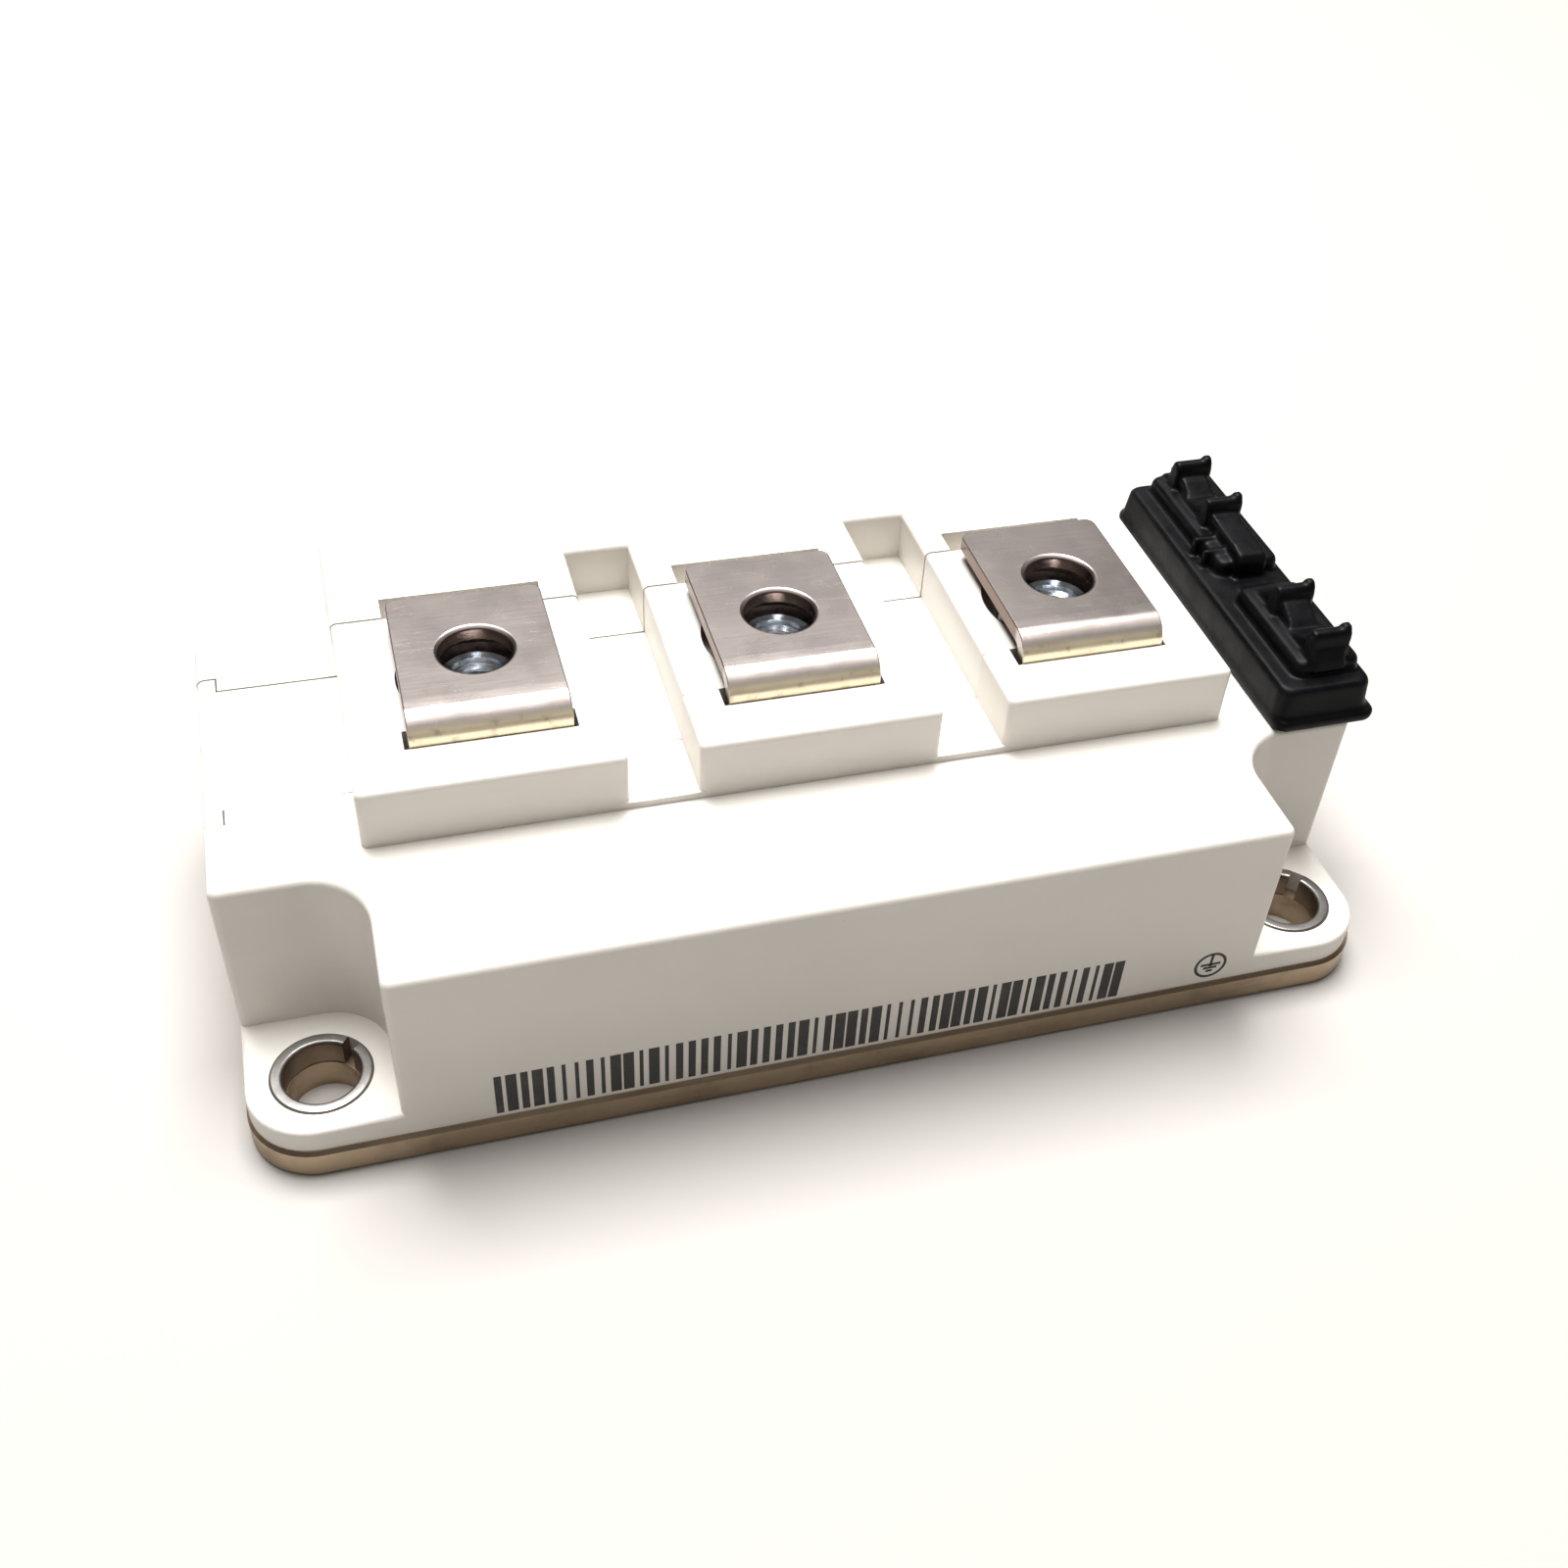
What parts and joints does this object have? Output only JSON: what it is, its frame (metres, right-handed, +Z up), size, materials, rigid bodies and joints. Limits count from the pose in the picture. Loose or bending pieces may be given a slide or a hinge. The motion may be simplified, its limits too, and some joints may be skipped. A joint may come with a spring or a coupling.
{
  "type": "igbt module",
  "caption": "Half-bridge power module, 106 x 61 mm, with three M6 screw terminals, a nickel-plated base plate and a black cap over its four signal tabs.",
  "frame": {"origin": "centre of the base plate's cooling face", "axes": "+X to the signal tabs, +Y from the printed front side to the back, +Z up to the screw terminals"},
  "size_m": [0.1084, 0.0614, 0.0307],
  "materials": {
    "nickel_plate": "nickel-plated copper, dull with a warm cast",
    "white_plastic": "white glass-filled plastic, matte",
    "carrier_plastic": "white plastic of the nut carrier, matte",
    "adhesive": "cured silicone adhesive",
    "terminal_metal": "nickel-plated copper strip, satin with fine scratches",
    "zinc_steel": "bright zinc-plated steel",
    "sleeve_steel": "rolled steel, satin",
    "tab_metal": "tin-plated brass",
    "copper_wire": "bare copper wire",
    "black_plastic": "black conductive moulding, semi-gloss with soft edges",
    "solder": "solder layer",
    "copper": "bare copper",
    "white_ceramic": "fired alumina",
    "chip": "metallised silicon",
    "bond_wire": "bright aluminium wire",
    "clear_gel": "soft clear silicone"
  },
  "bodies": {
    "root": {"base_plate": "nickel_plate", "bond_wires_left": "bond_wire", "bond_wires_right": "bond_wire", "diode_chip_1": "chip", "diode_chip_2": "chip", "diode_chip_3": "chip", "diode_chip_4": "chip", "diode_chip_5": "chip", "diode_chip_6": "chip", "housing": "white_plastic", "nut_carrier": "carrier_plastic", "nut_left": "zinc_steel", "nut_middle": "zinc_steel", "nut_right": "zinc_steel", "phase_link": "copper", "seal_bead": "adhesive", "shorting_cap": "black_plastic", "signal_lead_1": "copper_wire", "signal_lead_2": "copper_wire", "signal_lead_3": "copper_wire", "signal_lead_4": "copper_wire", "signal_tab_1": "tab_metal", "signal_tab_2": "tab_metal", "signal_tab_3": "tab_metal", "signal_tab_4": "tab_metal", "silicone_gel": "clear_gel", "sleeve_back_left": "sleeve_steel", "sleeve_back_right": "sleeve_steel", "sleeve_front_left": "sleeve_steel", "sleeve_front_right": "sleeve_steel", "substrate_backing_left": "copper", "substrate_backing_right": "copper", "substrate_ceramic_left": "white_ceramic", "substrate_ceramic_right": "white_ceramic", "substrate_solder_left": "solder", "substrate_solder_right": "solder", "substrate_tracks_left": "copper", "substrate_tracks_right": "copper", "terminal_left": "terminal_metal", "terminal_middle": "terminal_metal", "terminal_right": "terminal_metal", "transistor_chip_1": "chip", "transistor_chip_2": "chip", "transistor_chip_3": "chip", "transistor_chip_4": "chip", "transistor_chip_5": "chip", "transistor_chip_6": "chip"}
  },
  "joints": []
}
